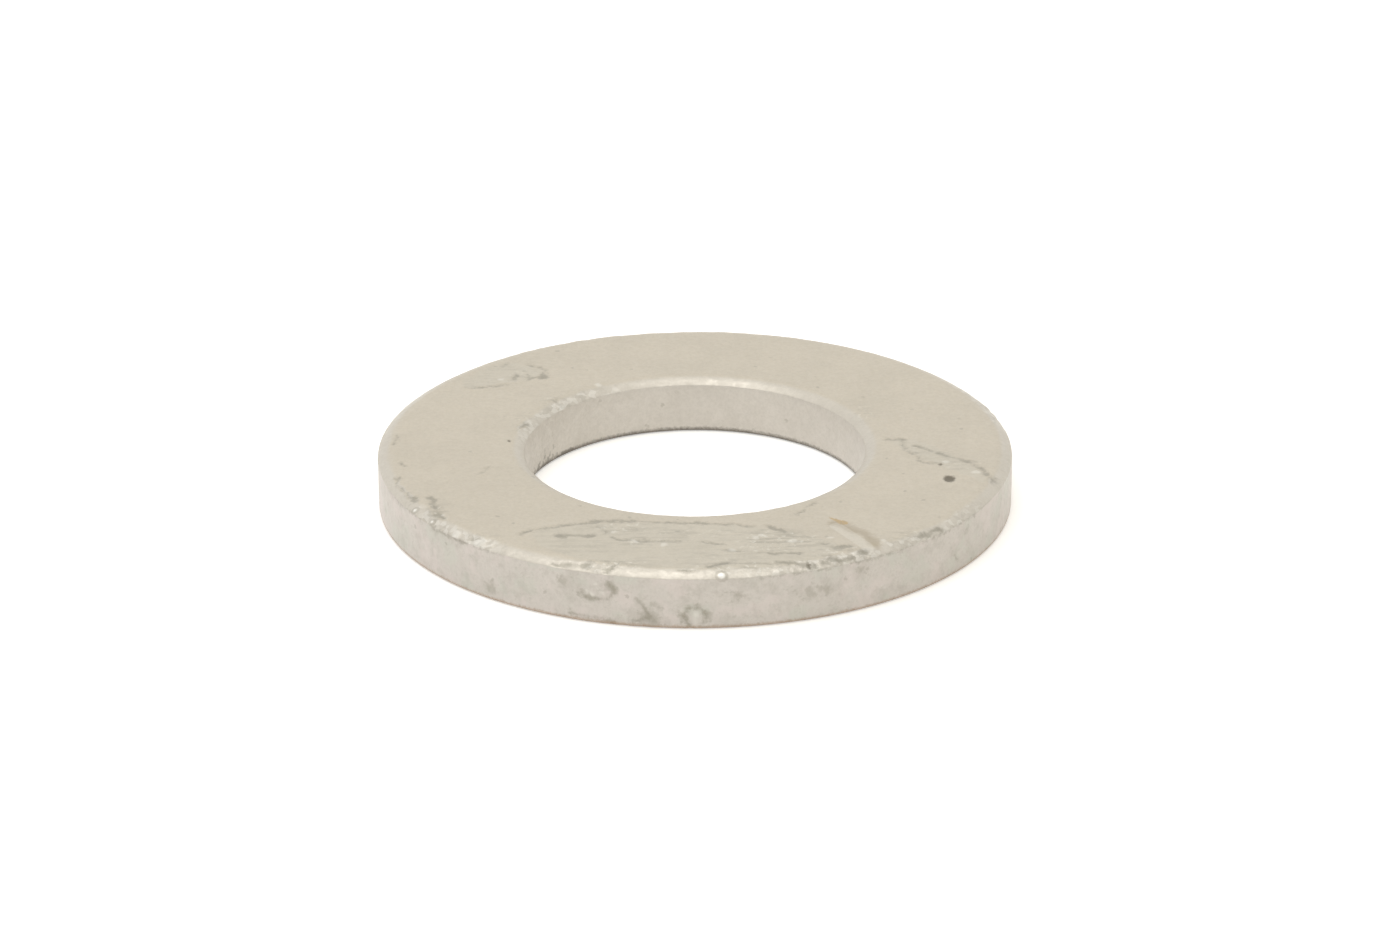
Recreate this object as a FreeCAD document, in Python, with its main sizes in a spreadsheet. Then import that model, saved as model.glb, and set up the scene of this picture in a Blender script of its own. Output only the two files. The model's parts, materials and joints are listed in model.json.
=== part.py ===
"""Thick flat washer for a 7/8 in (M22) bolt: one ring of steel, blanked and pierced, then galvanised.

The press draws both edges of the upper face down into a wide, shallow die roll. The edges of the lower face
stay crisp, apart from the small radius that tumbling leaves on them. Sizes are in millimetres. The origin is
the centre of the hole in the plane of the lower face, and +Z points out of the upper face.
"""

import FreeCAD, Part
import math
import os

import Sketcher

SIZES = {
    "outer_diameter": 44.45,  # across the blank
    "bore_diameter": 23.81,  # the pierced hole, which clears the bolt
    "plate_thickness": 4.1,  # the plate that the ring is blanked from
    "rim_roll_width": 1.3,  # how far the die roll reaches in from the rim
    "rim_roll_depth": 0.5,  # how far the die roll drops at the rim
    "bore_roll_width": 1.3,  # how far the die roll reaches out from the hole
    "bore_roll_depth": 0.5,  # how far the die roll drops at the hole
    "lower_edge_radius": 0.2,  # tumbled radius on both edges of the lower face
}
CUT_PAST = 1.0  # how far a die roll's section runs past the wall that it meets
FLAT = 1e-6  # heights closer than this are the same plane

# How a constraint names a curve's two ends and its centre, and the sketch's own origin.
START, END, CENTRE = 1, 2, 3
ORIGIN = -1


def make_sizes(doc):
    """The spreadsheet of driving dimensions: a row each, with the value under an alias."""
    sheet = doc.addObject("Spreadsheet::Sheet", "sizes")
    for row, (name, value) in enumerate(SIZES.items(), start=1):
        sheet.set(f"A{row}", name)
        sheet.set(f"B{row}", str(value))
        sheet.setAlias(f"B{row}", name)
    doc.recompute()


def origin_feature(body, role):
    """One of the body's own origin planes or axes, such as XY_Plane or Z_Axis."""
    return next(feature for feature in body.Origin.OriginFeatures if feature.Role == role)


def new_sketch(body, name, plane):
    """An empty sketch on one of the body's own origin planes."""
    sketch = body.newObject("Sketcher::SketchObject", name)
    sketch.AttachmentSupport = [(origin_feature(body, plane), "")]
    sketch.MapMode = "FlatFace"
    return sketch


def bind(sketch, name, expression, *constraint):
    """Adds a dimension to the sketch, and binds it to the spreadsheet under a name."""
    sketch.renameConstraint(sketch.addConstraint(Sketcher.Constraint(*constraint)), name)
    sketch.setExpression(f"Constraints.{name}", expression)


def relate(sketch, *constraint):
    """Adds a constraint that no cell of the spreadsheet drives, such as Horizontal."""
    sketch.addConstraint(Sketcher.Constraint(*constraint))


def circle_sketch(body, name, diameter):
    """A circle round the origin, whose diameter is a cell of the spreadsheet."""
    sketch = new_sketch(body, name, "XY_Plane")
    radius = SIZES[diameter] / 2
    circle = sketch.addGeometry(Part.Circle(FreeCAD.Vector(), FreeCAD.Vector(0, 0, 1), radius))
    relate(sketch, "Coincident", circle, CENTRE, ORIGIN, START)
    bind(sketch, "diameter", f"sizes.{diameter}", "Diameter", circle, 2 * radius)
    return sketch


def add_blank(body):
    """The round blank, as thick as the plate."""
    blank = body.newObject("PartDesign::Pad", "blank")
    blank.Profile = circle_sketch(body, "blank_outline", "outer_diameter")
    blank.setExpression("Length", "sizes.plate_thickness")
    return blank


def add_bore(body):
    """The pierced hole, which goes up from the lower face and right through."""
    bore = body.newObject("PartDesign::Pocket", "bore")
    bore.Profile = circle_sketch(body, "bore_outline", "bore_diameter")
    bore.Type = "ThroughAll"
    bore.Reversed = True
    return bore


def roll_sketch(body, edge, diameter, outward):
    """The section that a die roll takes off one edge of the upper face.

    It has an arc that leaves the upper face as a tangent and meets the wall at an angle, and three straight
    sides past the wall. edge is rim or bore. outward is 1 at the rim, whose wall faces away from the axis,
    and -1 at the hole.
    """
    wall = SIZES[diameter] / 2
    top = SIZES["plate_thickness"]
    width = SIZES[f"{edge}_roll_width"]
    depth = SIZES[f"{edge}_roll_depth"]
    arc_radius = (width**2 + depth**2) / (2 * depth)
    turn = math.asin(width / arc_radius)

    # An arc runs anticlockwise, so the rim's arc starts at its wall and the hole's arc ends there.
    upright = math.pi / 2
    angles = (upright - turn, upright) if outward > 0 else (upright, upright + turn)
    at_wall, at_face = (START, END) if outward > 0 else (END, START)
    centre = FreeCAD.Vector(wall - outward * width, top - arc_radius, 0)
    tangent_point = FreeCAD.Vector(centre.x, top, 0)
    wall_point = FreeCAD.Vector(wall, top - depth, 0)
    past_point = FreeCAD.Vector(wall + outward * CUT_PAST, top - depth, 0)
    corner = FreeCAD.Vector(past_point.x, top, 0)

    sketch = new_sketch(body, f"{edge}_roll_section", "XZ_Plane")
    circle = Part.Circle(centre, FreeCAD.Vector(0, 0, 1), arc_radius)
    arc = sketch.addGeometry(Part.ArcOfCircle(circle, *angles))
    below = sketch.addGeometry(Part.LineSegment(wall_point, past_point))
    beside = sketch.addGeometry(Part.LineSegment(past_point, corner))
    above = sketch.addGeometry(Part.LineSegment(corner, tangent_point))

    relate(sketch, "Coincident", arc, at_wall, below, START)
    relate(sketch, "Coincident", below, END, beside, START)
    relate(sketch, "Coincident", beside, END, above, START)
    relate(sketch, "Coincident", above, END, arc, at_face)
    relate(sketch, "Horizontal", below)
    relate(sketch, "Vertical", beside)
    relate(sketch, "Horizontal", above)
    relate(sketch, "Vertical", arc, at_face, arc, CENTRE)

    left, right = (at_face, at_wall) if outward > 0 else (at_wall, at_face)
    near, far = (START, END) if outward > 0 else (END, START)
    bind(sketch, "wall", f"sizes.{diameter} / 2", "DistanceX", ORIGIN, START, arc, at_wall, wall)
    bind(sketch, "upper_face", "sizes.plate_thickness", "DistanceY", ORIGIN, START, arc, at_face, top)
    bind(sketch, "roll_width", f"sizes.{edge}_roll_width", "DistanceX", arc, left, arc, right, width)
    bind(sketch, "roll_depth", f"sizes.{edge}_roll_depth", "DistanceY", arc, at_wall, arc, at_face, depth)
    relate(sketch, "DistanceX", below, near, below, far, CUT_PAST)
    return sketch


def add_die_roll(body, edge, diameter, outward):
    """Takes the die roll off one edge of the upper face, all the way round."""
    roll = body.newObject("PartDesign::Groove", f"{edge}_roll")
    roll.Profile = roll_sketch(body, edge, diameter, outward)
    roll.ReferenceAxis = (origin_feature(body, "Z_Axis"), [""])
    roll.Angle = 360
    return roll


def lower_face_edges(shape):
    """Names of the edges that lie in the plane of the lower face."""
    return [
        f"Edge{number}"
        for number, edge in enumerate(shape.Edges, start=1)
        if abs(edge.BoundBox.ZMin) < FLAT and abs(edge.BoundBox.ZMax) < FLAT
    ]


def add_lower_edge_radius(body, base):
    """The tumbled radius on both edges of the lower face, which are still sharp on base."""
    fillet = body.newObject("PartDesign::Fillet", "lower_edges")
    fillet.Base = (base, lower_face_edges(base.Shape))
    fillet.setExpression("Radius", "sizes.lower_edge_radius")
    return fillet


def add_checked(doc, before, add, *arguments):
    """Adds a feature that cuts the solid before it, and stops if it took nothing off."""
    feature = add(*arguments)
    doc.recompute()
    if not feature.Shape.Volume < before.Shape.Volume:
        raise RuntimeError(f"{feature.Label} cuts nothing off {before.Label}")
    return feature


def make_washer(doc):
    """The washer's one body, made in the order that the press and the tumbler make it."""
    body = doc.addObject("PartDesign::Body", "washer")
    blank = add_blank(body)
    doc.recompute()
    bore = add_checked(doc, blank, add_bore, body)
    rim_roll = add_checked(doc, bore, add_die_roll, body, "rim", "outer_diameter", 1)
    bore_roll = add_checked(doc, rim_roll, add_die_roll, body, "bore", "bore_diameter", -1)
    add_checked(doc, bore_roll, add_lower_edge_radius, body, bore_roll)
    body.Placement = FreeCAD.Placement()
    return body


def check_document(doc):
    """Stops if any object of the document failed to compute."""
    for item in doc.Objects:
        if "Invalid" in item.State or "Error" in item.State:
            raise RuntimeError(f"{item.Label} failed: {item.State}")


def write_part(body):
    """Writes one sub-part's solid to parts/LABEL.step."""
    shape = body.Shape
    if shape.isNull() or not shape.isValid() or len(shape.Solids) != 1:
        raise RuntimeError(f"{body.Label} isn't one valid solid")
    shape.exportStep(f"parts/{body.Label}.step")
    print(f"{body.Label}: {shape.Volume:.1f} mm3, {len(shape.Faces)} faces")


def main():
    os.makedirs("parts", exist_ok=True)
    doc = FreeCAD.newDocument("flat_washer")
    make_sizes(doc)
    washer = make_washer(doc)
    doc.recompute()
    check_document(doc)
    write_part(washer)


main()
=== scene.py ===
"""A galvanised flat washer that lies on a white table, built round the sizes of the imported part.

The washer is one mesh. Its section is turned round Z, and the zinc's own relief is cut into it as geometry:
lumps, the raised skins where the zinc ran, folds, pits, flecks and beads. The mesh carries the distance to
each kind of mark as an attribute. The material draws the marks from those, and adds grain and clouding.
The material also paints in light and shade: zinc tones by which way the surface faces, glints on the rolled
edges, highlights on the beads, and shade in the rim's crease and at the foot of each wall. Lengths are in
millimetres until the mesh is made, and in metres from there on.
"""
import itertools
import json
import math

import bpy
import numpy as np
from mathutils import Matrix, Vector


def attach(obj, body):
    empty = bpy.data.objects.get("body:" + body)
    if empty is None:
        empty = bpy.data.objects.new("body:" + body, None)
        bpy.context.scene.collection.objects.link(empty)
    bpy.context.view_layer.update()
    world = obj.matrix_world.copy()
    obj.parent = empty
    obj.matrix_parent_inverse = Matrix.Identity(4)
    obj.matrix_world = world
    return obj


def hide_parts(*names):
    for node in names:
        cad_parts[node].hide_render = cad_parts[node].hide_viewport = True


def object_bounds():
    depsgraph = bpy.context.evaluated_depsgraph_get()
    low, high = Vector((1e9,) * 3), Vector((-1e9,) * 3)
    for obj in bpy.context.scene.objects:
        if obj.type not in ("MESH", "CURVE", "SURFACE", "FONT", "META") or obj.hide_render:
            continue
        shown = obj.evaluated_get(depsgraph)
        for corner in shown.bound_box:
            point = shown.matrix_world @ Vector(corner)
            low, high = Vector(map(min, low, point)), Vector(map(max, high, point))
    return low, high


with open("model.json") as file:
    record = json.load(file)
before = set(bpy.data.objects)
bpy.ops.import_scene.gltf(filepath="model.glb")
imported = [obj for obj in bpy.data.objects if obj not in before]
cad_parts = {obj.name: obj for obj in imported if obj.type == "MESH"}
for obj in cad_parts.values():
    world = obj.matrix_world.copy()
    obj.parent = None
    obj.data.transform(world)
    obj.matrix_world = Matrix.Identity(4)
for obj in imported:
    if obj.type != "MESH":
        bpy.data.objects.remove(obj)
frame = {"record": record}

cad_box = [list(corner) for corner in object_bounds()]

MM = 0.001

# The ring. The lower radius and the roll's width repeat part.py's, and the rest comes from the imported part.
BOLT_HOLE = next(mount for mount in frame["record"]["mounts"] if mount["name"] == "bolt_hole")
OUTER_RADIUS = cad_box[1][0] / MM
THICKNESS = cad_box[1][2] / MM
BORE_RADIUS = BOLT_HOLE["dims"]["r_mm"]
LOWER_RADIUS = 0.2
ROLL_WIDTH = 1.3
ROLL_DEPTH = THICKNESS - LOWER_RADIUS - BOLT_HOLE["dims"]["length_mm"]

# How finely the ring is divided. Its quads make 198,400 triangles, and an STL may have 200,000.
SPOKES = 800
STATIONS = 124
TOP_STEP, ROLL_STEP, RIM_STEP, BORE_STEP, LOWER_STEP = 0.14, 0.11, 0.2, 0.35, 0.9
STATIONS_PER_RADIAN = 7.0
SECTION_GRAIN = 0.01  # how far apart the section's points are before the stations are picked from them
ZINC_SOFTENING = 12  # rounds of averaging that round the section's corners off by about 0.03 mm

SINK = 0.035  # the whole surface is this far inside the part's, so that lumps stay within it
FAR = 3.0  # added to the distance to a mark on faces that do not carry it
ATTRIBUTE_LIMIT = 2  # distances are cut off here when they are written to the mesh
PIT_SQUASH = 0.68  # pits are longer along y than along x


# ---------------------------------------------------------------- marks on the zinc

# Skins where the zinc ran and froze, seen from above: x to the right, y away from the camera.
SKINS = [
    [
        (-11.5, -15.5), (-9.5, -14), (-6.5, -14), (0, -13.5), (6, -15), (10.5, -18),
        (8.5, -20), (4, -21.5), (-2, -21.5), (-6.5, -20.5), (-10, -18.5),
    ],
    [(13.5, 0.5), (15.5, 1), (19, -3.5), (20.5, -7.5), (19, -6.5), (15.5, -2.5), (14, -1)],
    [(-17, 10), (-16.5, 12.5), (-15, 14.5), (-13, 15.5), (-11, 14), (-11, 12.5), (-14, 11)],
]

# Patches where the zinc froze rough: x, y, half length along x, half width along y, and how rough.
CHURNED = [
    (5.5, -17, 3.5, 2.5, 1.0), (-5, -14.5, 2.5, 1.5, 0.8), (-3.5, -17, 2, 1, 0.8),
    (-0.5, -15.5, 4.5, 1.5, 0.5), (1.5, -19.5, 4, 1, 0.4), (-7.5, -18, 3, 1.5, 0.3),
    (-5.5, -20.5, 3, 1, 1.0), (3, -21, 4, 1, 0.9), (10, -19, 3, 1.5, 0.9), (14.5, -16.5, 2, 2, 0.7),
    (-17.5, -11.5, 1, 2, 0.8), (-15, -16.5, 2.5, 1.5, 0.7), (-13, 13, 2, 1.5, 0.35),
    (-10, 8, 2, 1.5, 0.5), (-12, 4.5, 1, 2, 0.5), (18.5, -4, 2, 2, 0.45), (12, 5.5, 1, 2, 0.5),
]

# Cracks and folds in the zinc, seen from above, each with its half width.
FOLDS = [
    # The back edge of the skin in front, and the cracks across it.
    (0.28, [(-11.5, -15.5), (-11, -15)]),
    (0.15, [(-11, -15), (-9.5, -14.5), (-7.5, -14)]),
    (0.28, [(-7.5, -14), (-5.5, -13.5), (-4, -13.5)]),
    (0.13, [(-4, -13.5), (-1, -14), (1.5, -14), (4, -14.5)]),
    (0.22, [(5, -14.5), (6, -15.5)]),
    (0.35, [(-9, -16), (-7, -16)]),
    (0.13, [(-6.5, -14.5), (-6, -15.5)]),
    (0.20, [(-5.5, -16.5), (-3, -17)]),
    (0.13, [(-3, -17), (0, -17), (2, -17.5)]),
    (0.15, [(2, -18.5), (5, -19), (7, -19)]),
    (0.30, [(8.5, -17.5), (9, -18), (10, -18)]),
    # Along the rim in front.
    (0.20, [(-9.5, -20), (-7, -20.5)]),
    (0.15, [(-6, -21), (-5, -20.5)]),
    (0.17, [(-1, -21.5), (0, -21.5)]),
    (0.24, [(1, -21), (2, -20.5)]),
    (0.15, [(5.5, -20.5), (8, -20.5)]),
    (0.22, [(8.5, -20), (10, -19.5), (11.5, -18.5)]),
    (0.18, [(15, -16), (16.5, -14.5)]),
    # Round the skin on the right.
    (0.24, [(13.5, 0.5), (14.5, 0.5)]),
    (0.12, [(14.5, 0.5), (14.5, -1), (16, -3.5), (17, -4)]),
    (0.16, [(15.5, -0.5), (16.5, -1.5)]),
    (0.20, [(17, -2), (19, -3.5), (20.5, -6)]),
    (0.24, [(20, -5.5), (20.5, -7)]),
    # Round the skin on the left.
    (0.15, [(-12, 15), (-11, 14), (-11, 13)]),
    (0.22, [(-11, 13), (-11, 12.5)]),
    (0.25, [(-13, 13), (-13, 12)]),
    (0.13, [(-12, 13), (-12, 12), (-11.5, 12.5)]),
    (0.07, [(-16.5, 10.5), (-15, 10.5), (-13.5, 11)]),
    (0.12, [(-14, 14.5), (-13.5, 15)]),
    # Nicks and faint lines round the left side and the hole.
    (0.14, [(-10, 8), (-9.5, 7.5)]),
    (0.08, [(-21, 1.5), (-21, 0)]),
    (0.10, [(-20.5, -3.5), (-20, -4)]),
    (0.10, [(-20.5, -6), (-20.5, -7), (-19.5, -9)]),
    (0.12, [(-19.5, -9), (-19, -10)]),
    (0.22, [(-18, -9.5), (-17.5, -12), (-17, -13)]),
    (0.05, [(-15, -5.5), (-14, -4)]),
    (0.14, [(-12.5, 2.5), (-12, 4)]),
    (0.18, [(7, -12.5), (8, -10.5)]),
]

# Round marks as (x, y, radius) seen from above: pits, and bright flecks.
PITS = [(17.5, -6.5, 0.37), (17, -4, 0.09), (-13, 0.5, 0.08), (7.5, -20.5, 0.10)]
FLECKS = [
    (-5.5, -15.5, 0.20), (-4, -17, 0.26), (-2, -17.5, 0.24), (4, -16.5, 0.30), (4.5, -16, 0.24),
    (6.5, -17, 0.32), (9, -16.5, 0.20), (2.5, -18.5, 0.20), (4, -18.5, 0.20), (-19, -11, 0.20),
    (-17, -12.5, 0.18), (-16, -15, 0.36), (-14.5, -16.5, 0.40), (-7, 11, 0.24), (17.5, -3.5, 0.24),
    (19.5, -5.5, 0.28), (-9.5, 7.5, 0.30), (-14, 12, 0.24), (12.5, -17, 0.24),
]

# The golden scratch in front, the brown smear that goes on from it, and the strip beside them that was wiped
# smooth, each with its half width. The scratch is a wedge, and has that half width at its second end.
SCRATCH = (0.30, [(9, -13), (10, -14)])
SMEAR = (0.50, [(9.5, -14), (10.5, -15), (11.5, -16), (12, -17.5)])
WIPED = (0.46, [(9.5, -14.5), (11.5, -18)])

# Marks on the outer wall, as (degrees round from +x, height): folds with a half width, then round marks.
WALL_FOLDS = [
    (0.06, [(-162, 3.5), (-158, 3.6), (-153, 3.5)]),
    (0.08, [(-143, 3.5), (-134, 3.5)]),
    (0.16, [(-110, 2.4), (-110, 2), (-108, 1.7), (-105, 2)]),
    (0.12, [(-105, 2), (-104, 2.5), (-105, 3)]),
    (0.10, [(-112, 0.7), (-112, 0.4), (-109, 0.4), (-104, 0.2)]),
    (0.16, [(-100, 2), (-99, 1.5), (-97, 0.4)]),
    (0.16, [(-98, 0.8), (-101, 0.4)]),
    (0.16, [(-91, 1.6), (-92, 1), (-91, 0.2)]),
    (0.14, [(-90, 1.6), (-88, 1), (-89, 0.4)]),
    (0.06, [(-86, 2.6), (-84, 2.6), (-81, 2.2)]),
    (0.10, [(-38, 1.6), (-37, 1.1)]),
]
WALL_STAINS = [
    (-105, 2.8, 0.5), (-113, 2.7, 0.4), (-98, 0.7, 0.8), (-97, 1.6, 0.4), (-92, 0.8, 0.4), (-88, 1, 0.4),
    (-70, 2.1, 0.6), (-67, 2.1, 0.5), (-73, 2.4, 0.3), (-34, 2.8, 0.4), (-128, 0.9, 0.5), (-83, 2.3, 0.4),
    (-60, 2.9, 0.4),
]
WALL_FLECKS = [
    (-109, 2.2, 0.13), (-108, 2, 0.2), (-107, 2.8, 0.16), (-106, 2.3, 0.12),
    (-90, 1.1, 0.18), (-90, 0.6, 0.14),
]

# Dark ragged marks low on the hole's wall, placed like the folds on the outer wall.
BORE_FOOT_MARKS = [(0.18, [(170, 0.1), (160, 0.3), (150, 0.3), (138, 0.1)]), (0.10, [(158, 1.1), (147, 1.1)])]

# Beads of zinc that froze on the rim's edge: degrees round, and radius. A bead is set in and down by shares
# of the roll's width and depth. Its height and reach are shares of its radius.
BEADS = [(-85.5, 0.28), (-150, 0.18), (-144, 0.16)]
BEAD_INSET, BEAD_DROP = 0.2, 0.72
BEAD_HEIGHT, BEAD_REACH = 0.4, 0.8

# Stretches where the rolled edges are lumpy: the middle and half the span, in degrees round.
LUMPY_RIM = [(-54, 34), (-140, 18), (100, 40), (20, 14)]
LUMPY_BORE = [(145, 38), (-80, 30)]

# How far noise moves the marks, coarse and then fine, so that they look grown and not drawn.
FACE_WANDER = (0.22, 0.12)
WALL_WANDER = (0.14, 0.07)
FOLD_BREAKS = 0.14  # how far noise thins the folds on the face, which breaks them up
FACE_ENDS = (0.35, 0.2)  # marks on the face fade out as the normal's upward part falls from one to the other
WALL_TILT = 0.6  # a wall's normal has less than this as its upward part
# The crease's darkness is painted shade under the rim's lumps.
CREASE_DROP = 0.05  # how far below the roll's foot the dark crease lies

# Heights and depths of the relief.
WAVE_HEIGHT, RIPPLE_HEIGHT, LUMP_HEIGHT = 0.010, 0.006, 0.0025
CHURN_LUMPS, CHURN_RIDGES = 0.010, 0.012
ROLL_LUMPS, ROLL_SWELLS = 0.005, 0.030
EDGE_SWELLS, EDGE_LUMPS, EDGE_REACH = 0.030, 0.020, 0.55
SKIN_BORDER, SKIN_BORDER_WIDTH = 0.010, 0.18
FOLD_LIP, FOLD_LIP_PLACE, FOLD_LIP_WIDTH, FOLD_DEPTH = 0.014, 0.22, 0.14, 0.022
FLECK_HEIGHT = 0.020
PIT_DEPTH, SCRATCH_DEPTH, WIPED_DEPTH = 0.075, 0.020, 0.010


# ---------------------------------------------------------------- noise and distances

RANDOM = np.random.default_rng(7)
SHUFFLE = RANDOM.permutation(256)
SLOPES = RANDOM.normal(size=(256, 3))
SLOPES /= np.linalg.norm(SLOPES, axis=1, keepdims=True)
NOISE_GAIN = 1.7  # brings the noise to about -1 to 1


def noise(places, scale, shift=0.0):
    """Gradient noise at each place, about -1 to 1. Its features are about scale across, in each axis."""
    grid = places / np.asarray(scale, dtype=float) + shift
    cell = np.floor(grid).astype(int)
    part = grid - cell
    ease = part**3 * (part * (part * 6 - 15) + 10)
    total = np.zeros(len(places))
    for corner in itertools.product((0, 1), repeat=3):
        x, y, z = ((cell + corner) & 255).T
        slope = SLOPES[SHUFFLE[(SHUFFLE[(SHUFFLE[x] + y) & 255] + z) & 255]]
        share = np.prod(np.where(corner, ease, 1 - ease), axis=1)
        total += share * ((part - corner) * slope).sum(axis=1)
    return total * NOISE_GAIN


def step(low, high, value):
    """A smooth step from 0 at low to 1 at high. With low above high it falls instead."""
    share = np.clip((value - low) / (high - low), 0, 1)
    return share * share * (3 - 2 * share)


def to_line(points, line):
    """Distance from each 2-D point to a run of straight stretches."""
    nearest = np.full(len(points), np.inf)
    for start, end in zip(np.array(line, dtype=float), np.array(line[1:], dtype=float)):
        along = end - start
        share = np.clip((points - start) @ along / (along @ along), 0, 1)
        nearest = np.minimum(nearest, np.linalg.norm(points - start - share[:, None] * along, axis=1))
    return nearest


def rounded(loop, cuts=2):
    """A closed run of points made smooth by cutting off its corners, a few times over."""
    loop = np.array(loop, dtype=float)
    for _ in range(cuts):
        after = np.roll(loop, -1, axis=0)
        loop = np.stack([0.75 * loop + 0.25 * after, 0.25 * loop + 0.75 * after], axis=1).reshape(-1, 2)
    return loop


def to_loop(points, loop):
    """Signed distance from each 2-D point to a closed loop: negative inside it."""
    loop = rounded(loop)
    distance = to_line(points, [*loop, loop[0]])
    inside = np.zeros(len(points), dtype=bool)
    for (x0, y0), (x1, y1) in zip(loop, np.roll(loop, -1, axis=0)):
        if y0 == y1:
            continue
        spans = (y0 > points[:, 1]) != (y1 > points[:, 1])
        inside ^= spans & (points[:, 0] < x0 + (points[:, 1] - y0) * (x1 - x0) / (y1 - y0))
    return np.where(inside, -distance, distance)


# ---------------------------------------------------------------- the ring's mesh


def straight(start, end):
    """Closely spaced points from start up to end."""
    start, end = np.array(start), np.array(end)
    count = max(2, round(np.linalg.norm(end - start) / SECTION_GRAIN))
    return start + np.linspace(0, 1, count, endpoint=False)[:, None] * (end - start)


def arc(centre, radius, start, end):
    """Closely spaced points on an arc, from one angle to the other, in degrees."""
    count = max(2, round(radius * math.radians(abs(end - start)) / SECTION_GRAIN))
    turn = np.radians(np.linspace(start, end, count, endpoint=False))
    return np.array(centre) + radius * np.stack([np.cos(turn), np.sin(turn)], axis=1)


def section():
    """The ring's section as a closed run of (radius, height), and the station spacing wanted at each point.

    It starts at the hole's lower edge and goes out along the lower face, up the wall and back over the top.
    """
    inner, outer, top, edge = BORE_RADIUS, OUTER_RADIUS, THICKNESS, LOWER_RADIUS
    roll_radius = (ROLL_WIDTH**2 + ROLL_DEPTH**2) / (2 * ROLL_DEPTH)
    turn = math.degrees(math.asin(ROLL_WIDTH / roll_radius))
    roll_height = top - roll_radius
    runs = [
        (straight((inner + edge, 0), (outer - edge, 0)), LOWER_STEP),
        (arc((outer - edge, edge), edge, -90, 0), RIM_STEP),
        (straight((outer, edge), (outer, top - ROLL_DEPTH)), RIM_STEP),
        (arc((outer - ROLL_WIDTH, roll_height), roll_radius, 90 - turn, 90), ROLL_STEP),
        (straight((outer - ROLL_WIDTH, top), (inner + ROLL_WIDTH, top)), TOP_STEP),
        (arc((inner + ROLL_WIDTH, roll_height), roll_radius, 90, 90 + turn), ROLL_STEP),
        (straight((inner, top - ROLL_DEPTH), (inner, edge)), BORE_STEP),
        (arc((inner + edge, edge), edge, 180, 270), BORE_STEP),
    ]
    points = np.concatenate([run for run, _ in runs])
    steps = np.concatenate([np.full(len(run), spacing) for run, spacing in runs])
    for _ in range(ZINC_SOFTENING):
        points = (np.roll(points, 1, axis=0) + 2 * points + np.roll(points, -1, axis=0)) / 4
    return points, steps


def stations():
    """The section's stations, as (radius, height) and the way that the surface faces there.

    They lie closer together where the section bends.
    """
    points, steps = section()
    along = np.roll(points, -1, axis=0) - points
    length = np.linalg.norm(along, axis=1)
    heading = np.unwrap(np.arctan2(along[:, 1], along[:, 0]))
    bend = np.abs(np.diff(heading, append=heading[0] + 2 * math.pi))
    crowd = np.cumsum(length / steps + bend * STATIONS_PER_RADIAN)
    wanted = np.linspace(0, crowd[-1], STATIONS, endpoint=False)
    place = np.stack([np.interp(wanted, crowd, points[:, axis]) for axis in (0, 1)], axis=1)
    facing = np.interp(wanted, crowd, heading) - math.pi / 2
    return place, np.stack([np.cos(facing), np.sin(facing)], axis=1)


def turned():
    """Every vertex of the ring and the way that the surface faces there, spoke by spoke."""
    place, facing = stations()
    turn = np.linspace(0, 2 * math.pi, SPOKES, endpoint=False)
    across = np.stack([np.cos(turn), np.sin(turn)], axis=1)

    def swept(pairs):
        """Pairs of (radius, height) at every spoke."""
        flat = across[:, None, :] * pairs[None, :, :1]
        height = np.broadcast_to(pairs[None, :, 1:], (SPOKES, STATIONS, 1))
        return np.concatenate([flat, height], axis=2).reshape(-1, 3)

    return swept(place), swept(facing)


def quads():
    """The ring's faces, each as four vertex numbers."""
    spoke, station = np.meshgrid(np.arange(SPOKES), np.arange(STATIONS), indexing="ij")
    next_spoke, next_station = (spoke + 1) % SPOKES, (station + 1) % STATIONS
    corners = [(next_spoke, station), (next_spoke, next_station), (spoke, next_station), (spoke, station)]
    return np.stack([along * STATIONS + up for along, up in corners], axis=2).reshape(-1, 4)


# ---------------------------------------------------------------- relief


def stretch_of(angle, stretches):
    """1 in the middle of each stretch of degrees, falling to 0 at its ends."""
    strength = np.zeros(len(angle))
    for middle, half in stretches:
        apart = np.abs((angle - middle + 180) % 360 - 180)
        strength = np.maximum(strength, step(half, 0.5 * half, apart))
    return strength


def tapered(points, start, end, half):
    """Distance from each 2-D point to a wedge that grows from a tip at start to a half width at end."""
    along = np.array(end) - np.array(start)
    share = np.clip((points - start) @ along / (along @ along), 0, 1)
    return np.linalg.norm(points - start - share[:, None] * along, axis=1) - half * share


def patchy(points):
    """How rough the zinc is at each 2-D point, from 0 to 1, from the CHURNED patches."""
    rough = np.zeros(len(points))
    for x, y, half_length, half_width, strength in CHURNED:
        apart = np.hypot((points[:, 0] - x) / half_length, (points[:, 1] - y) / half_width)
        rough = np.maximum(rough, strength * step(1.1, 0.4, apart))
    return rough


def round_marks(points, spots, squash=1.0):
    """Distance to the nearest of several round marks. With squash below 1 they are longer along y."""
    across, away = points.T[:2]
    distances = [np.hypot(across - x, (away - y) * squash) - size for x, y, size in spots]
    return np.min(distances, axis=0)


def line_marks(points, lines, thickness):
    """Distance to the nearest of several lines, each with a half width that the thickness varies."""
    return np.min([to_line(points, line) - half * thickness for half, line in lines], axis=0)


def bead_centre(degrees):
    """Where on the rim's roll a bead sits."""
    turn = math.radians(degrees)
    reach = OUTER_RADIUS - BEAD_INSET * ROLL_WIDTH
    return np.array([reach * math.cos(turn), reach * math.sin(turn), THICKNESS - BEAD_DROP * ROLL_DEPTH])


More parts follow.
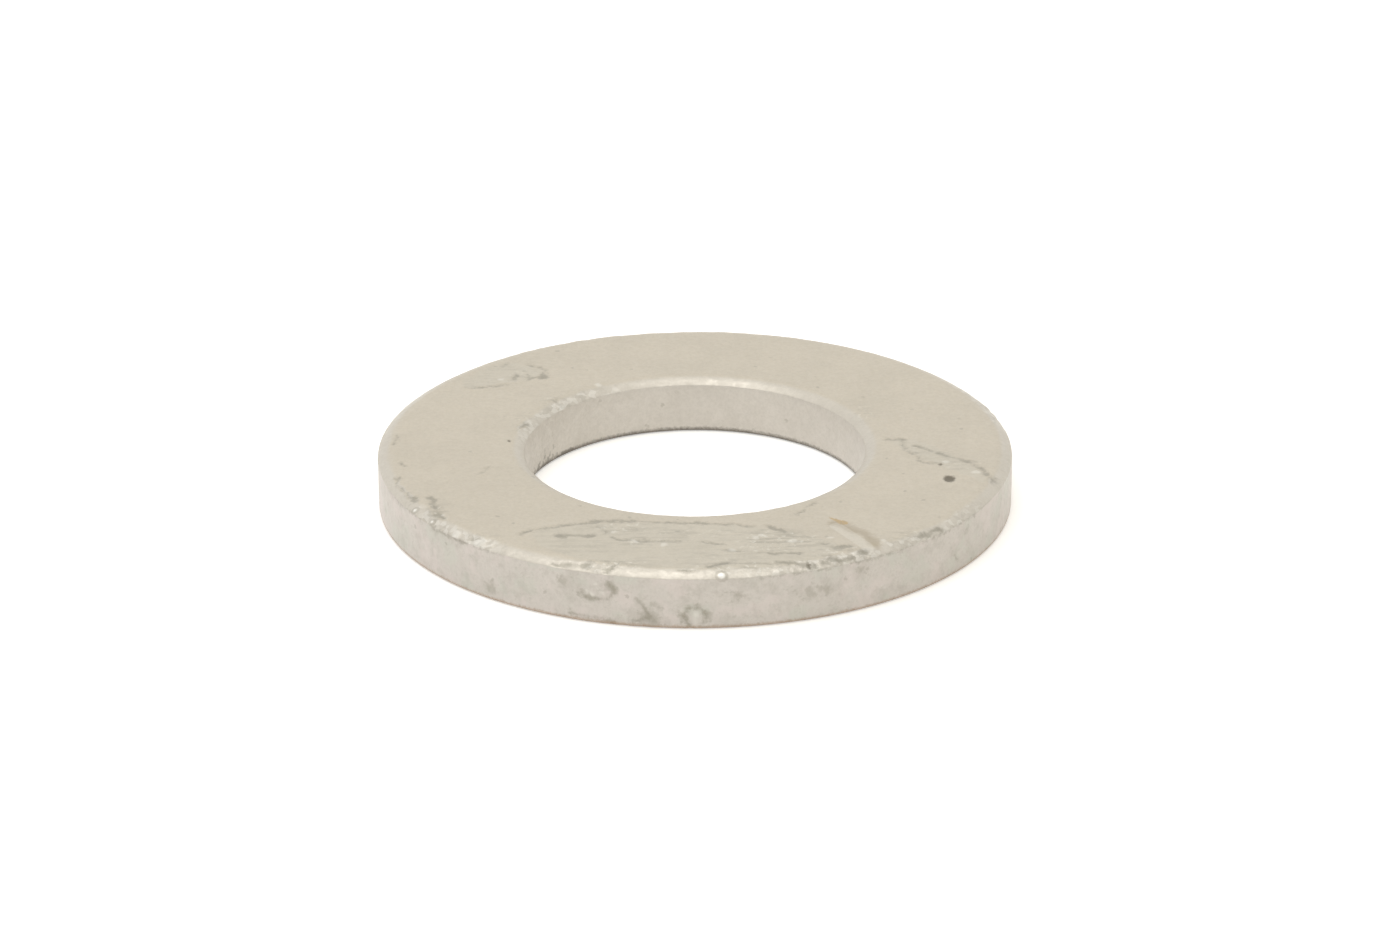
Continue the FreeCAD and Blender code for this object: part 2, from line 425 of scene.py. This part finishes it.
def to_bead(places):
    """Distance to the nearest bead."""
    return np.min([np.linalg.norm(places - bead_centre(turn), axis=1) - size for turn, size in BEADS], axis=0)


def on_wall(spots, radius):
    """Places on a wall with their degrees round turned into millimetres along it."""
    return [(math.radians(degrees % 360) * radius, *rest) for degrees, *rest in spots]


def lines_on_wall(lines, radius):
    """The same for lines with their half widths."""
    return [(half, on_wall(line, radius)) for half, line in lines]


def marks(places, facing):
    """Arrays by name, for each vertex: its distance to each kind of mark, and how churned or lumpy it is."""
    wander = np.stack([noise(places, 0.9, shift) for shift in (3.3, 8.1)], axis=1)
    fine_wander = np.stack([noise(places, 0.35, shift) for shift in (5.7, 1.9)], axis=1)
    above = places[:, :2] + FACE_WANDER[0] * wander + FACE_WANDER[1] * fine_wander
    radius = np.hypot(places[:, 0], places[:, 1])
    angle = np.degrees(np.arctan2(places[:, 1], places[:, 0]))
    outer_half = radius > (OUTER_RADIUS + BORE_RADIUS) / 2
    off_top = step(*FACE_ENDS, facing[:, 2]) * FAR
    off_rim = np.where((facing[:, 2] < WALL_TILT) & outer_half, 0.0, FAR)
    off_bore = np.where((facing[:, 2] < WALL_TILT) & ~outer_half, 0.0, FAR)
    thickness = np.clip(0.95 + 0.9 * noise(places, 1.2, 12.4), 0.1, 1.6)
    broken = FOLD_BREAKS * step(0.10, 0.55, noise(places, 0.8, 15.2))

    def unrolled(turn_radius):
        """Each vertex's place on an unrolled wall, moved by the noise."""
        flat = np.stack([np.radians(angle % 360) * turn_radius, places[:, 2]], axis=1)
        return flat + WALL_WANDER[0] * wander + WALL_WANDER[1] * fine_wander

    beside, inside = unrolled(OUTER_RADIUS), unrolled(BORE_RADIUS)
    fold = line_marks(above, FOLDS, thickness) + broken + off_top
    wall_fold = line_marks(beside, lines_on_wall(WALL_FOLDS, OUTER_RADIUS), thickness) + off_rim
    fleck = round_marks(above, FLECKS) + off_top
    wall_fleck = round_marks(beside, on_wall(WALL_FLECKS, OUTER_RADIUS)) + off_rim
    return {
        "skin": np.min([to_loop(above, loop) for loop in SKINS], axis=0) + off_top,
        "churn": patchy(above) * (off_top == 0),
        "fold": np.minimum(fold, wall_fold),
        "pit": round_marks(places, PITS, PIT_SQUASH) + off_top,
        "fleck": np.minimum(fleck, wall_fleck),
        "stain": round_marks(beside, on_wall(WALL_STAINS, OUTER_RADIUS)) + off_rim,
        "grime": line_marks(inside, lines_on_wall(BORE_FOOT_MARKS, BORE_RADIUS), thickness) + off_bore,
        "scratch": tapered(places[:, :2], *SCRATCH[1], SCRATCH[0]) + off_top,
        "smear": to_line(above, SMEAR[1]) - SMEAR[0] + off_top,
        "wiped": to_line(places[:, :2], WIPED[1]) - WIPED[0] + off_top,
        "bead": to_bead(places),
        "lumpy": np.where(outer_half, stretch_of(angle, LUMPY_RIM), stretch_of(angle, LUMPY_BORE)),
        "crease": np.hypot(radius - OUTER_RADIUS, places[:, 2] - (THICKNESS - ROLL_DEPTH) + CREASE_DROP),
        "bore": np.where(outer_half, 0.0, 1.0),
    }


def bump(distance, width):
    """1 where a distance is 0, falling to 0 a width or two away."""
    return np.exp(-((distance / width) ** 2))


def relief(places, facing, marked):
    """How far each vertex stands out from the section, in millimetres."""
    radius = np.hypot(places[:, 0], places[:, 1])
    upright = 1 - np.abs(facing[:, 2])
    lumpy, skin = marked["lumpy"], marked["skin"]
    on_skin = step(0.05, -0.15, skin)
    edge_height = THICKNESS - ROLL_DEPTH
    to_edge = np.minimum(np.abs(radius - OUTER_RADIUS), np.abs(radius - BORE_RADIUS))
    near_edge = bump(np.hypot(to_edge, places[:, 2] - edge_height), EDGE_REACH)
    on_roll = step(1.3 * ROLL_WIDTH, 0.5 * ROLL_WIDTH, to_edge) * step(0.5, 0.8, places[:, 2] / edge_height)
    lumps = noise(places, 0.55) + 0.6 * noise(places, 0.3, 4.4)
    ridges = noise(places, (1.4, 0.5, 0.5), 7.7)
    edge_swells = EDGE_SWELLS * noise(places, 1.6, 6.1) + EDGE_LUMPS * noise(places, 0.7, 9.2)
    height = WAVE_HEIGHT * noise(places, 6.5) + RIPPLE_HEIGHT * noise(places, 2.4, 2.2)
    height += LUMP_HEIGHT * lumps * (1 + upright + on_skin)
    height += marked["churn"] * (CHURN_LUMPS * lumps + CHURN_RIDGES * ridges)
    height += ROLL_LUMPS * lumps * on_roll * (0.3 + lumpy)
    height += ROLL_SWELLS * noise(places, 1.2, 3.6) * on_roll * lumpy
    height += near_edge * (0.4 + lumpy) * edge_swells
    height += SKIN_BORDER * bump(skin, SKIN_BORDER_WIDTH)
    height += FOLD_LIP * bump(marked["fold"] - FOLD_LIP_PLACE, FOLD_LIP_WIDTH)
    height -= FOLD_DEPTH * step(0.10, -0.06, marked["fold"])
    height += FLECK_HEIGHT * step(0.12, -0.10, marked["fleck"])
    height -= PIT_DEPTH * step(0.10, -0.20, marked["pit"])
    height -= SCRATCH_DEPTH * step(0.10, -0.10, marked["scratch"])
    height -= WIPED_DEPTH * step(0.12, -0.10, marked["wiped"])
    return height - SINK


def add_beads(places, facing):
    """Pushes the rim's edge out into a small round bead at each of BEADS."""
    for degrees, size in BEADS:
        apart = np.linalg.norm(places - bead_centre(degrees), axis=1)
        places += facing * (BEAD_HEIGHT * size * bump(apart, BEAD_REACH * size))[:, None]
    return places


def make_ring():
    """The washer's mesh object, with its relief and its mark attributes."""
    places, facing = turned()
    marked = marks(places, facing)
    shaped = add_beads(places + facing * relief(places, facing, marked)[:, None], facing)
    shaped[:, 2] = np.clip(shaped[:, 2], 0, THICKNESS)
    mesh = bpy.data.meshes.new("galvanised_ring")
    mesh.from_pydata((shaped * MM).tolist(), [], quads().tolist())
    mesh.shade_smooth()
    for name, values in marked.items():
        attribute = mesh.attributes.new(name, "FLOAT", "POINT")
        kept = np.clip(values, -ATTRIBUTE_LIMIT, ATTRIBUTE_LIMIT)
        attribute.data.foreach_set("value", kept.astype(np.float32))
    mesh.validate()
    ring = bpy.data.objects.new("galvanised_ring", mesh)
    bpy.context.collection.objects.link(ring)
    return ring


# ---------------------------------------------------------------- materials

# Painted light: one zinc in copies of different tone by which way the surface faces. The rolled edges are
# whiter so that their highlights are, the hole's wall is lighter for light that it lacks, and the top is
# yellower for the warm light that it reflects.
TOP_ZINC = (0.605, 0.549, 0.454, 1)
ROLL_HIGHLIGHT_ZINC = (0.612, 0.568, 0.494, 1)
WALL_ZINC = (0.606, 0.567, 0.524, 1)
BORE_LIT_ZINC = (0.655, 0.616, 0.562, 1)
PINK_ZINC = (0.635, 0.575, 0.540, 1)
GREEN_ZINC = (0.560, 0.558, 0.495, 1)
DARK_ZINC = (0.300, 0.278, 0.225, 1)
DEEP_ZINC = (0.150, 0.135, 0.105, 1)
PALE_ZINC = (0.880, 0.860, 0.800, 1)
PIT_COLOUR = (0.140, 0.118, 0.080, 1)
# Painted shade where the washer meets the table: a brown line at the foot of the outer wall, and a dark one
# at the foot of the hole's wall.
WALL_FOOT_SHADE = (0.380, 0.255, 0.165, 1)
BORE_FOOT_SHADE = (0.080, 0.065, 0.045, 1)
SMEAR_COLOUR = (0.350, 0.290, 0.200, 1)
GOLD = (0.500, 0.350, 0.160, 1)
ZINC_METALLIC = 0.5
ZINC_ROUGHNESS = (0.42, 0.55)
ROLL_POLISH = 0.05  # how much less rough the rolled edges are
GRAIN_DEPTH = 0.02  # the grain's depth as bump, in mm
FACETS_PER_MM = 3.2
FACET_TILT, LUMPY_TILT = 0.06, 0.10  # how far facets tilt the normal on slopes, and how much more on lumps


def add(tree, kind, inputs, **options):
    """Adds a node, sets its options, and fills each input from a value or another node's output."""
    made = tree.nodes.new(kind)
    for name, value in options.items():
        setattr(made, name, value)
    for name, value in inputs.items():
        if isinstance(value, bpy.types.NodeSocket):
            tree.links.new(value, made.inputs[name])
        else:
            made.inputs[name].default_value = value
    return made


def calc(tree, operation, first, second=0.0):
    """One step of arithmetic."""
    return add(tree, "ShaderNodeMath", {0: first, 1: second}, operation=operation).outputs[0]


def fade(tree, value, low, high, start=0.0, end=1.0):
    """A smooth step from start where value is low to end where it is high."""
    inputs = {"Value": value, "From Min": low, "From Max": high, "To Min": start, "To Max": end}
    return add(tree, "ShaderNodeMapRange", inputs, interpolation_type="SMOOTHSTEP").outputs[0]


def blend(tree, factor, first, second):
    """Mixes two colours."""
    inputs = {"Factor": factor, 6: first, 7: second}
    return add(tree, "ShaderNodeMix", inputs, data_type="RGBA").outputs[2]


def grain(tree, place, per_mm, detail=2.0, roughness=0.5, stretch=(1, 1, 1)):
    """Noise from 0 to 1 with per_mm features to the millimetre."""
    scale = tuple(per_mm * share / MM for share in stretch)
    scaled = add(tree, "ShaderNodeMapping", {"Vector": place, "Scale": scale})
    inputs = {"Vector": scaled.outputs[0], "Scale": 1.0, "Detail": detail, "Roughness": roughness}
    return add(tree, "ShaderNodeTexNoise", inputs).outputs["Fac"]


def new_material(name):
    """An empty node material, with its output node."""
    material = bpy.data.materials.new(name)
    material.use_nodes = True
    material.node_tree.nodes.clear()
    return material, material.node_tree, material.node_tree.nodes.new("ShaderNodeOutputMaterial")


def cells(tree, place, per_mm):
    """Distance to the nearest of scattered points, then a number from 0 to 1 and a colour for its cell."""
    scaled = add(tree, "ShaderNodeMapping", {"Vector": place, "Scale": (per_mm / MM,) * 3})
    scatter = add(tree, "ShaderNodeTexVoronoi", {"Vector": scaled.outputs[0], "Scale": 1.0})
    pick = add(tree, "ShaderNodeSeparateColor", {0: scatter.outputs["Color"]})
    return scatter.outputs["Distance"], pick.outputs[0], scatter.outputs["Color"]


def times(tree, *values):
    """The product of several values."""
    product = values[0]
    for value in values[1:]:
        product = calc(tree, "MULTIPLY", product, value)
    return product


def about_zero(tree, value, size):
    """Noise from 0 to 1 as noise from -size / 2 to size / 2."""
    return calc(tree, "MULTIPLY", calc(tree, "SUBTRACT", value, 0.5), size)


def mark(tree, name, frayed=0.0):
    """A mark's attribute, with noise added to fray its edge."""
    value = add(tree, "ShaderNodeAttribute", {}, attribute_name=name).outputs["Fac"]
    return calc(tree, "ADD", value, frayed)


def tinted(tree, colour, layers):
    """Mixes colours in one by one. Each layer is a share, the most that it mixes in, and its colour."""
    for share, most, towards in layers:
        colour = blend(tree, calc(tree, "MULTIPLY", share, most), colour, towards)
    return colour


def zinc_noises(tree, place):
    """The zinc's noises by name, from fine grain to slow clouding."""
    return {
        "fine": grain(tree, place, 5.0, 3.0, 0.65),
        "speck": grain(tree, place, 2.2, 3.0, 0.6),
        "blotch": grain(tree, place, 0.8, 5.0, 0.7),
        "cloud": grain(tree, place, 0.22, 4.0, 0.6),
        "hue": grain(tree, place, 0.45, 3.0, 0.55),
        "streak": grain(tree, place, 2.4, 3.0, 0.6, stretch=(0.22, 1, 1)),
    }


def zinc_zones(tree, place):
    """Shares of the surface by name, for the walls, the rolled edges and all slopes, and then the height."""
    normal = tree.nodes.new("ShaderNodeNewGeometry").outputs["Normal"]
    upward = calc(tree, "ABSOLUTE", add(tree, "ShaderNodeSeparateXYZ", {0: normal}).outputs["Z"])
    height = add(tree, "ShaderNodeSeparateXYZ", {0: place}).outputs["Z"]
    wall = fade(tree, upward, 0.60, 0.35)
    roll = times(tree, fade(tree, upward, 0.99, 0.93), calc(tree, "SUBTRACT", 1.0, wall))
    return {"wall": wall, "roll": roll, "slope": fade(tree, upward, 0.999, 0.95), "height": height}


def clouding(tree, place, noises, zones, outer, ragged):
    """Layers for the zinc itself: clouds and grain, pink and green on the wall, and scattered specks."""
    fine, speck, blotch, hue = noises["fine"], noises["speck"], noises["blotch"], noises["hue"]
    wall = times(tree, zones["wall"], outer)
    reach, pick, _ = cells(tree, place, 0.9)
    close = fade(tree, calc(tree, "ADD", reach, ragged), 0.17, 0.09)
    specks = times(tree, close, fade(tree, pick, 0.72, 0.95))
    return [
        (fade(tree, noises["cloud"], 0.62, 0.38), 0.06, DARK_ZINC),
        (fade(tree, fine, 0.60, 0.36), 0.10, DARK_ZINC),
        (fade(tree, blotch, 0.56, 0.36), 0.05, DARK_ZINC),
        (times(tree, wall, fade(tree, hue, 0.52, 0.62)), 0.60, PINK_ZINC),
        (times(tree, wall, fade(tree, hue, 0.46, 0.36)), 0.50, GREEN_ZINC),
        (times(tree, wall, fade(tree, blotch, 0.50, 0.36)), 0.13, DARK_ZINC),
        (times(tree, wall, fade(tree, speck, 0.42, 0.32)), 0.14, DARK_ZINC),
        (specks, 0.35, DARK_ZINC),
    ]


def rough_patches(tree, place, noises, zones, ragged):
    """Layers for the skins and the churned patches, and painted glints and painted shade on the lumpy
    stretches of the rolled edges.
    """
    speck, streak = noises["speck"], noises["streak"]
    skin = fade(tree, mark(tree, "skin", ragged), 0.05, -0.25)
    churn = mark(tree, "churn")
    lumpy_roll = times(tree, zones["roll"], mark(tree, "lumpy"))
    _, glint_pick, _ = cells(tree, place, 2.6)
    return [
        (skin, 0.14, GREEN_ZINC),
        (times(tree, skin, fade(tree, streak, 0.52, 0.38)), 0.10, DARK_ZINC),
        (times(tree, churn, fade(tree, streak, 0.54, 0.37)), 0.32, DARK_ZINC),
        (times(tree, churn, fade(tree, speck, 0.46, 0.34)), 0.30, DARK_ZINC),
        (times(tree, churn, fade(tree, speck, 0.55, 0.66)), 0.36, PALE_ZINC),
        # Painted glints and painted shade: pale and dark facets on the lumpy stretches of the rolled edges.
        (times(tree, lumpy_roll, fade(tree, glint_pick, 0.72, 0.80)), 0.22, PALE_ZINC),
        (times(tree, lumpy_roll, fade(tree, glint_pick, 0.24, 0.14)), 0.16, DARK_ZINC),
    ]


def drawn_marks(tree, noises, zones, bore, outer, ragged):
    """Layers for the marks that have places of their own, with painted highlights and shade on the beads and
    in the crease, and for the painted shade at the foot of each wall.
    """
    speck = noises["speck"]
    frayed = about_zero(tree, speck, 1.7)
    fold = mark(tree, "fold", ragged)
    patchy_depth = fade(tree, noises["blotch"], 0.32, 0.54, 0.5, 1.0)
    # Painted shade along the crease under the rim's lumps, broken up by noise.
    crease = fade(tree, mark(tree, "crease", ragged), 0.22, 0.02)
    crease = times(tree, crease, mark(tree, "lumpy"), fade(tree, speck, 0.56, 0.40))
    scratch = fade(tree, mark(tree, "scratch", ragged), 0.10, -0.06)
    wiped = fade(tree, mark(tree, "wiped"), 0.05, -0.05)
    # Painted highlight and painted shade on the beads: each bead is painted pale, with a dark ring round it.
    bead = mark(tree, "bead")
    bead_shade_ring = fade(tree, calc(tree, "ABSOLUTE", calc(tree, "SUBTRACT", bead, 0.10)), 0.12, 0.04)
    # Painted shade at the foot of each wall, where the washer meets the table.
    above_foot = calc(tree, "ADD", calc(tree, "MULTIPLY", zones["height"], 1 / MM), ragged)
    return [
        (fade(tree, mark(tree, "stain", frayed), 0.16, -0.40), 0.42, DARK_ZINC),
        (fade(tree, mark(tree, "smear", ragged), 0.22, -0.45), 0.52, SMEAR_COLOUR),
        (times(tree, fade(tree, fold, 0.26, -0.22), patchy_depth), 0.40, DARK_ZINC),
        (times(tree, fade(tree, fold, 0.06, -0.18), patchy_depth), 0.56, DARK_ZINC),
        (crease, 0.45, DARK_ZINC),
        (wiped, 0.16, PALE_ZINC),
        (scratch, 0.75, GOLD),
        (times(tree, scratch, fade(tree, speck, 0.52, 0.40)), 0.35, DARK_ZINC),
        (fade(tree, mark(tree, "pit", ragged), 0.16, -0.10), 0.92, PIT_COLOUR),
        (fade(tree, mark(tree, "fleck", ragged), 0.12, -0.14), 0.34, PALE_ZINC),
        # The ring of painted shade round each bead, then its painted highlight.
        (bead_shade_ring, 0.30, DARK_ZINC),
        (fade(tree, bead, 0.02, -0.10), 0.95, PALE_ZINC),
        (fade(tree, mark(tree, "grime", frayed), 0.12, -0.28), 0.66, DEEP_ZINC),
        (times(tree, outer, fade(tree, above_foot, 0.36, 0.12)), 0.60, WALL_FOOT_SHADE),
        (times(tree, bore, fade(tree, above_foot, 0.46, 0.12)), 0.74, BORE_FOOT_SHADE),
    ]


def zinc_colour(tree, place, noises, zones):
    """Grey zinc, clouded and grainy, with the marks drawn on it, and with painted light and shade: tones by
    which way the surface faces, glints on the rolled edges, highlights on the beads, and shade in the crease
    and at the foot of each wall.
    """
    bore = mark(tree, "bore")
    outer = calc(tree, "SUBTRACT", 1.0, bore)
    ragged = about_zero(tree, noises["fine"], 0.35)
    # Painted light: the top, the rolled edges, the outer wall and the hole's wall take their own tones of the
    # zinc by which way they face.
    upright = blend(tree, bore, WALL_ZINC, BORE_LIT_ZINC)
    colour = blend(tree, zones["wall"], blend(tree, zones["roll"], TOP_ZINC, ROLL_HIGHLIGHT_ZINC), upright)
    layers = clouding(tree, place, noises, zones, outer, ragged)
    layers += rough_patches(tree, place, noises, zones, ragged)
    layers += drawn_marks(tree, noises, zones, bore, outer, ragged)
    return tinted(tree, colour, layers)


def zinc_normal(tree, place, noises, zones):
    """Grain as bump, and facets that tilt the rolled edges so that they glint."""
    wiped = fade(tree, mark(tree, "wiped"), 0.06, -0.06)
    smooth = calc(tree, "SUBTRACT", 1.0, times(tree, wiped, 0.7))
    height = calc(tree, "ADD", times(tree, noises["fine"], 0.6), times(tree, noises["speck"], 0.8))
    coarse = calc(tree, "ADD", 0.6, calc(tree, "ADD", zones["slope"], mark(tree, "churn")))
    height = times(tree, height, smooth, coarse)
    grained = add(tree, "ShaderNodeBump", {"Height": height, "Strength": 0.6, "Distance": GRAIN_DEPTH * MM})

    _, _, facet = cells(tree, place, FACETS_PER_MM)
    tilt = add(tree, "ShaderNodeVectorMath", {0: facet, 1: (0.5, 0.5, 0.5)}, operation="SUBTRACT").outputs[0]
    tilt_where_lumpy = times(tree, mark(tree, "lumpy"), LUMPY_TILT)
    amount = times(tree, zones["slope"], calc(tree, "ADD", FACET_TILT, tilt_where_lumpy))
    tilt = add(tree, "ShaderNodeVectorMath", {0: tilt, "Scale": amount}, operation="SCALE").outputs[0]
    normal = add(tree, "ShaderNodeVectorMath", {0: grained.outputs[0], 1: tilt}, operation="ADD").outputs[0]
    return add(tree, "ShaderNodeVectorMath", {0: normal}, operation="NORMALIZE").outputs[0]


def zinc():
    """Dull hot-dip zinc: clouded and grainy, darker in folds and pits, with glints on the rolled edges from
    tilted facets and painted glints, and painted light and shade in its colour.
    """
    material, tree, output = new_material("galvanised_zinc")
    place = tree.nodes.new("ShaderNodeTexCoord").outputs["Object"]
    noises = zinc_noises(tree, place)
    zones = zinc_zones(tree, place)
    rough = fade(tree, noises["speck"], 0.35, 0.65, *ZINC_ROUGHNESS)
    rough = calc(tree, "SUBTRACT", rough, times(tree, zones["roll"], ROLL_POLISH))
    inputs = {
        "Base Color": zinc_colour(tree, place, noises, zones),
        "Metallic": ZINC_METALLIC,
        "Roughness": rough,
        "Normal": zinc_normal(tree, place, noises, zones),
    }
    shader = add(tree, "ShaderNodeBsdfPrincipled", inputs)
    tree.links.new(shader.outputs[0], output.inputs["Surface"])
    return material


TABLE_SIZE = 8.0  # metres
TABLE_GAP = 0.01  # how far the table is below the washer, in mm, so that the two faces do not coincide
TABLE_COLOUR = (0.90, 0.885, 0.86, 1)
TABLE_FLECK = (0.91, 0.90, 0.88, 1)
TABLE_GLOW = 0.38  # light added to the table where the camera or a reflection sees it, so that it is white


def seen_rays(tree):
    """1 for the rays by which the camera sees a background: straight, in a reflection or through glass."""
    rays = tree.nodes.new("ShaderNodeLightPath")
    seen = calc(tree, "MAXIMUM", rays.outputs["Is Camera Ray"], rays.outputs["Is Glossy Ray"])
    return calc(tree, "MAXIMUM", seen, rays.outputs["Is Transmission Ray"])


def white_table():
    """White paper that is just white to the camera and to reflections, and keeps the washer's shadow."""
    material, tree, output = new_material("white_table")
    place = tree.nodes.new("ShaderNodeTexCoord").outputs["Object"]
    paper = blend(tree, grain(tree, place, 0.02), TABLE_COLOUR, TABLE_FLECK)
    diffuse = add(tree, "ShaderNodeBsdfDiffuse", {"Color": paper})
    glow = add(tree, "ShaderNodeEmission", {"Strength": times(tree, seen_rays(tree), TABLE_GLOW)})
    both = add(tree, "ShaderNodeAddShader", {0: diffuse.outputs[0], 1: glow.outputs[0]})
    tree.links.new(both.outputs[0], output.inputs["Surface"])
    return material


# ---------------------------------------------------------------- the studio


def make_table():
    """The table top that the washer lies on."""
    half = TABLE_SIZE / 2
    corners = [(-half, -half, 0), (half, -half, 0), (half, half, 0), (-half, half, 0)]
    mesh = bpy.data.meshes.new("table")
    mesh.from_pydata(corners, [], [(0, 1, 2, 3)])
    table = bpy.data.objects.new("table", mesh)
    table.location.z = cad_box[0][2] - TABLE_GAP * MM
    table.data.materials.append(white_table())
    bpy.context.collection.objects.link(table)


SKY_LEFT = (1.0, 1.0, 1.0, 1)
SKY_RIGHT = (0.66, 0.63, 0.54, 1)
WHITE = (1, 1, 1, 1)
SOFTBOX_SIZE = (0.36, 0.26)  # metres, like its place
SOFTBOX_PLACE = (-0.07, 0.02, 0.50)
SOFTBOX_POWER = 0.64  # watts


def make_sky():
    """A pale sky, brighter on the left and warmer on the right, and just white where the camera sees it."""
    world = bpy.data.worlds.new("studio")
    world.use_nodes = True
    tree = world.node_tree
    tree.nodes.clear()
    way = add(tree, "ShaderNodeSeparateXYZ", {0: tree.nodes.new("ShaderNodeTexCoord").outputs["Generated"]})
    colour = blend(tree, fade(tree, way.outputs["X"], -1.0, 1.0), SKY_LEFT, SKY_RIGHT)
    colour = blend(tree, seen_rays(tree), colour, WHITE)
    sky = add(tree, "ShaderNodeBackground", {"Color": colour, "Strength": 1.0})
    output = tree.nodes.new("ShaderNodeOutputWorld")
    tree.links.new(sky.outputs[0], output.inputs["Surface"])
    bpy.context.scene.world = world


def make_softbox():
    """One broad softbox overhead, a little to the left and behind the washer."""
    lamp = bpy.data.lights.new("softbox", "AREA")
    lamp.shape = "RECTANGLE"
    lamp.size, lamp.size_y = SOFTBOX_SIZE
    lamp.energy = SOFTBOX_POWER
    softbox = bpy.data.objects.new("softbox", lamp)
    softbox.location = SOFTBOX_PLACE
    bpy.context.collection.objects.link(softbox)


CAMERA_LENS = 124.5
CAMERA_DISTANCE = 15.33 * OUTER_RADIUS * MM
CAMERA_ELEVATION = 23.37
CAMERA_LIFT = 0.37  # degrees that it looks above the middle of the lower face
CAMERA_TURN = -0.065  # degrees, a little to the right
CAMERA_ROLL = -0.16  # degrees


def make_camera():
    """A long lens, looking down at the washer from in front."""
    data = bpy.data.cameras.new("camera")
    data.lens = CAMERA_LENS
    camera = bpy.data.objects.new("camera", data)
    elevation = math.radians(CAMERA_ELEVATION)
    camera.location = (0, -CAMERA_DISTANCE * math.cos(elevation), CAMERA_DISTANCE * math.sin(elevation))
    turn = Matrix.Rotation(math.radians(CAMERA_TURN), 3, "Z")
    tilt = Matrix.Rotation(math.radians(90 - CAMERA_ELEVATION + CAMERA_LIFT), 3, "X")
    roll = Matrix.Rotation(math.radians(CAMERA_ROLL), 3, "Z")
    camera.rotation_euler = (turn @ tilt @ roll).to_euler()
    bpy.context.collection.objects.link(camera)
    bpy.context.scene.camera = camera


def main():
    """Builds the scene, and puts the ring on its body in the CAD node's place."""
    bpy.context.scene.view_settings.view_transform = "Standard"
    make_camera()
    make_sky()
    make_softbox()
    make_table()
    ring = make_ring()
    ring.data.materials.append(zinc())
    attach(ring, "root")
    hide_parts("washer")
    bpy.context.view_layer.update()


main()
